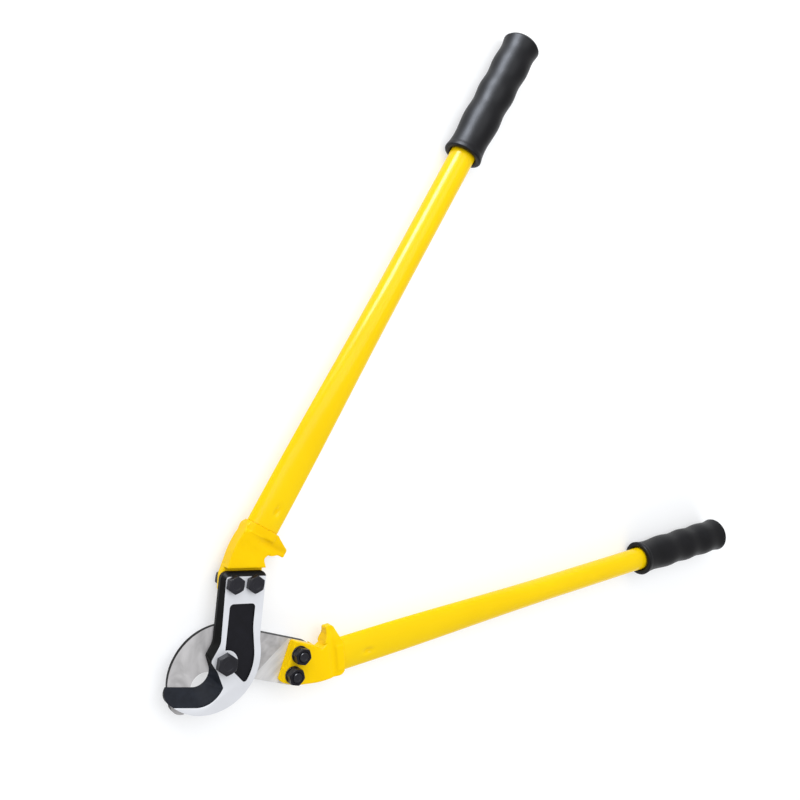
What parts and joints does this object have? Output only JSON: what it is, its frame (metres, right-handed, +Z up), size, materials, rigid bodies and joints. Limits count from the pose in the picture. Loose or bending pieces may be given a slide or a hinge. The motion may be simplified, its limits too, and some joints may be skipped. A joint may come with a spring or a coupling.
{
  "type": "long-arm cable cutter",
  "caption": "Long-arm cable cutter: two bolted steel blades cross on one pivot bolt, with forged sockets, tube handles and rubber grips.",
  "frame": {"origin": "on the pivot's axis, on the plane that the cutter lies on, where the pivot bolt's end face and the grips touch it", "axes": "+Z up along the pivot, towards its bolt head; +X along the middle line between the handles, towards the grips; +Y on the hook arm's side"},
  "size_m": [0.7177, 0.7434, 0.043],
  "materials": {
    "blade_steel": "ground bright faces with blackened bevels and panel",
    "yellow_paint": "gloss",
    "grip_rubber": "satin",
    "black_oxide": "satin black oxide"
  },
  "bodies": {
    "hook_arm": {"hook_blade": "blade_steel", "hook_socket": "yellow_paint", "hook_tube": "yellow_paint", "hook_grip": "grip_rubber", "hook_bolt_1": "black_oxide", "hook_spring_washer_1": "black_oxide", "hook_nut_1": "black_oxide", "hook_bolt_2": "black_oxide", "hook_spring_washer_2": "black_oxide", "hook_nut_2": "black_oxide", "pivot_bolt": "black_oxide", "pivot_washer": "black_oxide", "pivot_nut": "black_oxide"},
    "sickle_arm": {"sickle_blade": "blade_steel", "sickle_socket": "yellow_paint", "sickle_tube": "yellow_paint", "sickle_grip": "grip_rubber", "sickle_bolt_1": "black_oxide", "sickle_spring_washer_1": "black_oxide", "sickle_nut_1": "black_oxide", "sickle_bolt_2": "black_oxide", "sickle_spring_washer_2": "black_oxide", "sickle_nut_2": "black_oxide"}
  },
  "joints": [
    {"name": "jaw_pivot", "type": "hinge", "parent": "hook_arm", "child": "sickle_arm", "pos_m": [0, 0, 0.0215], "axis": [0, 0, 1], "range_deg": [-75, 47.5]}
  ]
}
